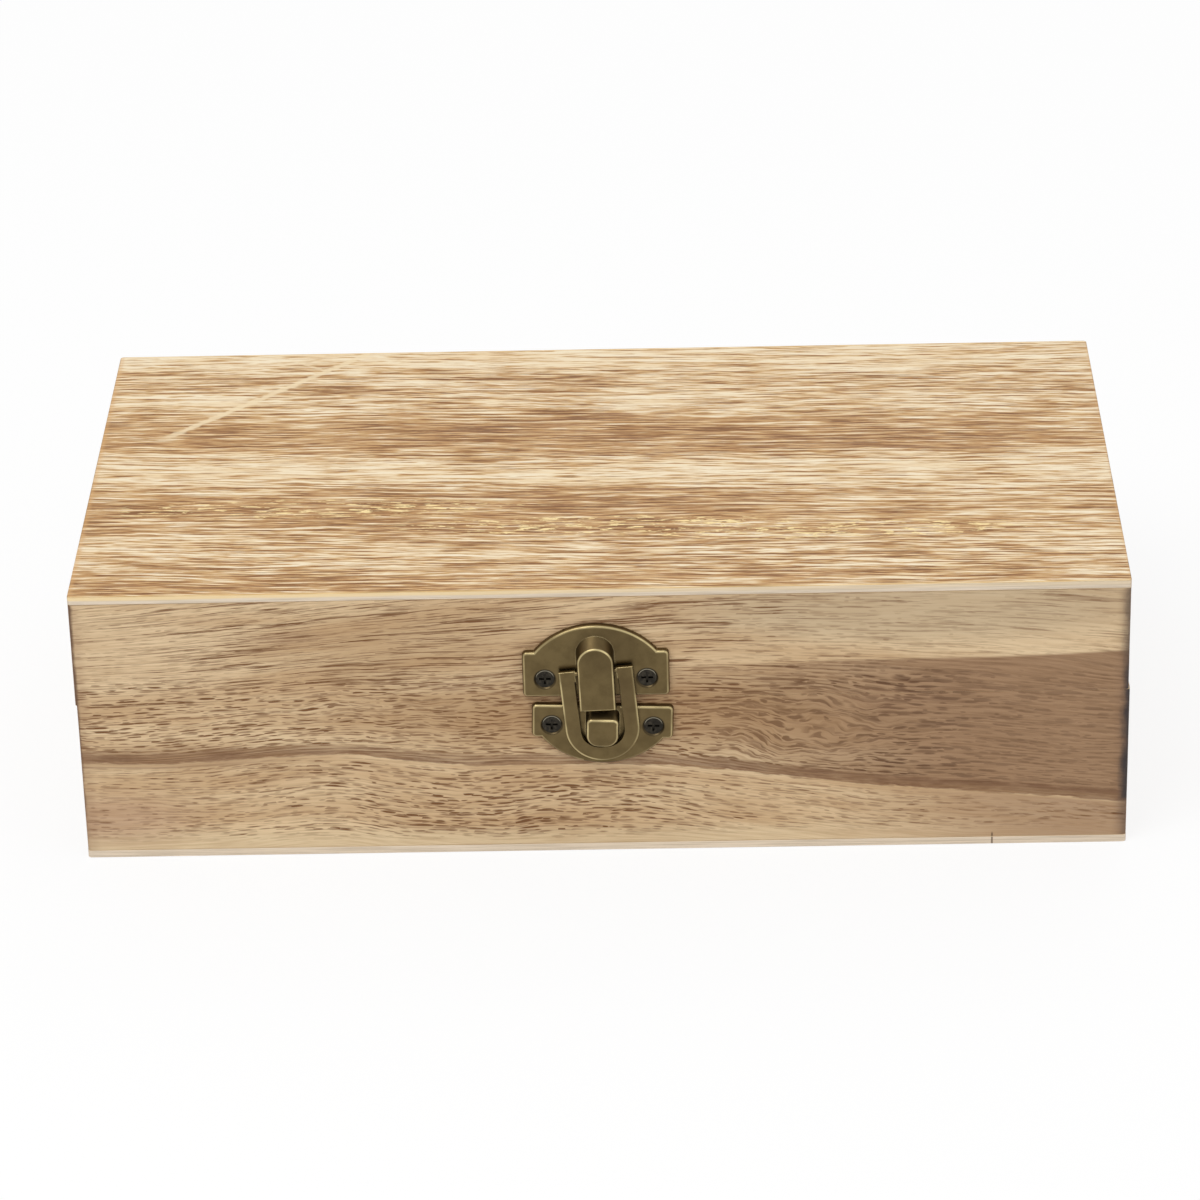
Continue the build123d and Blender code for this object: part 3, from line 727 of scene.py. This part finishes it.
def board(node, body, slot_name, radii, edge_radius, cells, relief, stretch=(0.0, 0.0)):
    """A board in place of a CAD node: closed, its edges eased, its grain in shallow relief.

    radii are those of its upright edges on its -Y and +Y side. stretch lowers its underside and
    raises its upper side, to close the hair's breadth between the front boards.
    """
    low, high = (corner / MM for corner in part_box(node))
    low.z -= stretch[0]
    high.z += stretch[1]
    middle, half = (low + high) / 2, (high - low) / 2
    xs = steps(low.x, high.x, cells[0], max(radii), max(radii))
    ys = steps(low.y, high.y, cells[1], *radii)
    zs = steps(low.z, high.z, cells[2], edge_radius, edge_radius)
    mesh = bmesh.new()
    made = {}

    def corner(i, j, k):
        if (i, j, k) not in made:
            point = Vector((xs[i], ys[j], zs[k]))
            from_middle = point - middle
            gap = [half[axis] - abs(from_middle[axis]) for axis in range(3)]
            sign = [1 if from_middle[axis] > 0 else -1 for axis in range(3)]
            radius = radii[0] if sign[1] < 0 else radii[1]
            move_x, move_y = rounded_pair(gap[0], gap[1], radius)
            if gap[0] < radius and gap[1] < radius:
                outward = Vector((sign[0] * (radius - gap[0]), sign[1] * (radius - gap[1])))
            elif gap[0] < gap[1]:
                outward = Vector((sign[0], 0))
            else:
                outward = Vector((0, sign[1]))
            outward.normalize()
            move_side, move_up = rounded_pair(min(gap[0], gap[1]), gap[2], edge_radius)
            point.x -= sign[0] * move_x + outward.x * move_side
            point.y -= sign[1] * move_y + outward.y * move_side
            point.z -= sign[2] * move_up
            made[i, j, k] = mesh.verts.new(point)
        return made[i, j, k]

    def sheet(count_a, count_b, place):
        for a in range(count_a - 1):
            for b in range(count_b - 1):
                mesh.faces.new((corner(*place(a, b)), corner(*place(a + 1, b)),
                                corner(*place(a + 1, b + 1)), corner(*place(a, b + 1))))

    count_x, count_y, count_z = len(xs), len(ys), len(zs)
    sheet(count_x, count_y, lambda a, b: (a, b, count_z - 1))
    sheet(count_y, count_x, lambda a, b: (b, a, 0))
    sheet(count_x, count_z, lambda a, b: (a, 0, b))
    sheet(count_z, count_x, lambda a, b: (b, count_y - 1, a))
    sheet(count_y, count_z, lambda a, b: (count_x - 1, a, b))
    sheet(count_z, count_y, lambda a, b: (0, b, a))
    mesh.normal_update()
    depths = [relief(vertex.co, vertex.normal) for vertex in mesh.verts]
    for vertex, depth in zip(mesh.verts, depths):
        vertex.co = (vertex.co - vertex.normal * depth) * MM
    for face in mesh.faces:
        face.smooth = True
    data = bpy.data.meshes.new(node + "_wood")
    mesh.to_mesh(data)
    mesh.free()
    piece = bpy.data.objects.new(node + "_wood", data)
    bpy.context.scene.collection.objects.link(piece)
    data.materials.append(materials[slot_name])
    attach(piece, body)
    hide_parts(node)


def grain_relief(depth, length, width, along_y=False, flat=False):
    """Depth of the grain's furrows at a point, in millimetres, never negative.

    Boards have them on their sides only, so that their rims meet; flat panels on their faces.
    """
    def relief(point, normal):
        if flat == (abs(normal.z) < 0.5):
            return 0.0
        along, across = (point.y, point.x) if along_y else (point.x, point.y)
        wave = noise.noise(Vector((along / length, across / width, point.z / width)))
        ripple = noise.noise(Vector((along / (length * 0.4), across / (width * 0.5) + 7.0,
                                     point.z / (width * 0.5))))
        uneven = noise.noise(Vector((point.x / 25, point.y / 25, point.z / 9 + 3.0)))
        return depth * (0.5 + 0.35 * wave + 0.15 * ripple) + 0.02 * (1 + uneven)
    return relief


for half_name, front_stretch in (("base", (0.0, SEAM_SHARE)), ("lid", (SEAM_SHARE, 0.0))):
    for side, radii, stretch in (("front", (ROUNDED, SHARP), front_stretch),
                                 ("back", (SHARP, ROUNDED), (0.0, 0.0))):
        board(f"{half_name}_{side}_board", half_name, f"wood_{side}", radii, SHARP,
              BOARD_CELLS, grain_relief(*BOARD_RELIEF), stretch)
    for side in ("left", "right"):
        board(f"{half_name}_{side}_end", half_name, "wood_end", (SHARP, SHARP), SHARP,
              BOARD_CELLS, grain_relief(*BOARD_RELIEF, along_y=True))
for node, body, cells, depth in PANELS:
    board(node, body, "wood_panel", (PANEL_ROUNDED, PANEL_ROUNDED), PANEL_EDGE, cells,
          grain_relief(depth, *PANEL_FURROWS, flat=True))

for subpart in record["subparts"]:
    node = frame["nodes"][subpart["node"]]
    if not node.hide_render:
        node.data.materials.clear()
        node.data.materials.append(materials[subpart["material_slot"]])


# ---------------------------------------------------------------- camera, floor and light
# The camera was fitted to six corners of the box in the photo.
IMAGE_WIDTH = 1200  # pixels
FOCAL_LENGTH = 4985.17  # pixels
SENSOR_WIDTH = 36.0  # millimetres
CAMERA_PLACE = Vector((19.6254, -1065.7217, 576.8131)) * MM
CAMERA_RIGHT = Vector((0.9997115, 0.00799035, -0.02265096))
CAMERA_DOWN = Vector((-0.01651864, -0.45589546, -0.88988003))
CAMERA_FORWARD = Vector((-0.01743692, 0.88999746, -0.45563195))

FLOOR_REACH = 40.0  # metres, so that its far edge never shows
SHADOW_SHARE = 0.16  # of the floor's look that is lit, so that it keeps the shadow
SKY_LIGHT = 0.6  # on the object; where the sky itself is seen it is white
LAMP_WIDTH = 0.9
LAMP_AIM = Vector((0, 0, 0.03))
LAMPS = [  # name, place in metres and power in watts
    ("key", (-0.5, -0.7, 1.4), 10.0),
    ("fill", (1.0, -1.1, 0.7), 2.0),
    ("back", (0.3, 1.3, 1.1), 3.0),
]

camera_data = bpy.data.cameras.new("camera")
camera_data.sensor_fit = "HORIZONTAL"
camera_data.sensor_width = SENSOR_WIDTH
camera_data.lens = FOCAL_LENGTH / IMAGE_WIDTH * SENSOR_WIDTH
camera_data.clip_start = 0.01
camera_data.clip_end = 100.0
camera = bpy.data.objects.new("camera", camera_data)
turn = Matrix((CAMERA_RIGHT, -CAMERA_DOWN, -CAMERA_FORWARD)).transposed()
camera.matrix_world = Matrix.Translation(CAMERA_PLACE) @ turn.to_4x4()
bpy.context.scene.collection.objects.link(camera)
bpy.context.scene.camera = camera


def where_seen(tree, lit, seen):
    """A value that is seen where the background is looked at, also in metal and glass, and lit
    where it only lights the object."""
    rays = tree.nodes.new("ShaderNodeLightPath")
    looked_at = rays.outputs["Is Camera Ray"]
    for ray in ("Is Glossy Ray", "Is Transmission Ray"):
        either = tree.nodes.new("ShaderNodeMath")
        either.operation = "MAXIMUM"
        tree.links.new(looked_at, either.inputs[0])
        tree.links.new(rays.outputs[ray], either.inputs[1])
        looked_at = either.outputs[0]
    value = tree.nodes.new("ShaderNodeMapRange")
    tree.links.new(looked_at, value.inputs["Value"])
    value.inputs["To Min"].default_value = lit
    value.inputs["To Max"].default_value = seen
    return value.outputs[0]


floor_mesh = bmesh.new()
bmesh.ops.create_grid(floor_mesh, x_segments=2, y_segments=2, size=FLOOR_REACH)
floor_data = bpy.data.meshes.new("floor")
floor_mesh.to_mesh(floor_data)
floor_mesh.free()
floor = bpy.data.objects.new("floor", floor_data)
bpy.context.scene.collection.objects.link(floor)

floor_material = bpy.data.materials.new("floor")
floor_material.use_nodes = True
tree = floor_material.node_tree
floor_shader = tree.nodes["Principled BSDF"]
floor_shader.inputs["Base Color"].default_value = (1, 1, 1, 1)
floor_shader.inputs["Roughness"].default_value = 1.0
floor_shader.inputs["Specular IOR Level"].default_value = 0.0
white = tree.nodes.new("ShaderNodeEmission")
white.inputs["Color"].default_value = (1, 1, 1, 1)
white.inputs["Strength"].default_value = 1.0
blend = tree.nodes.new("ShaderNodeMixShader")
tree.links.new(where_seen(tree, 0.0, 1 - SHADOW_SHARE), blend.inputs[0])
tree.links.new(floor_shader.outputs[0], blend.inputs[1])
tree.links.new(white.outputs[0], blend.inputs[2])
tree.links.new(blend.outputs[0], tree.nodes["Material Output"].inputs["Surface"])
floor_data.materials.append(floor_material)

world = bpy.data.worlds.new("studio")
world.use_nodes = True
bpy.context.scene.world = world
sky = world.node_tree.nodes["Background"]
sky.inputs["Color"].default_value = (1, 1, 1, 1)
world.node_tree.links.new(where_seen(world.node_tree, SKY_LIGHT, 1.0), sky.inputs["Strength"])

for name, place, power in LAMPS:
    lamp_data = bpy.data.lights.new(name, "AREA")
    lamp_data.shape = "SQUARE"
    lamp_data.size = LAMP_WIDTH
    lamp_data.energy = power
    lamp = bpy.data.objects.new(name, lamp_data)
    lamp.location = place
    lamp.rotation_euler = (LAMP_AIM - Vector(place)).to_track_quat("-Z", "Y").to_euler()
    bpy.context.scene.collection.objects.link(lamp)

bpy.context.scene.view_settings.view_transform = "Standard"
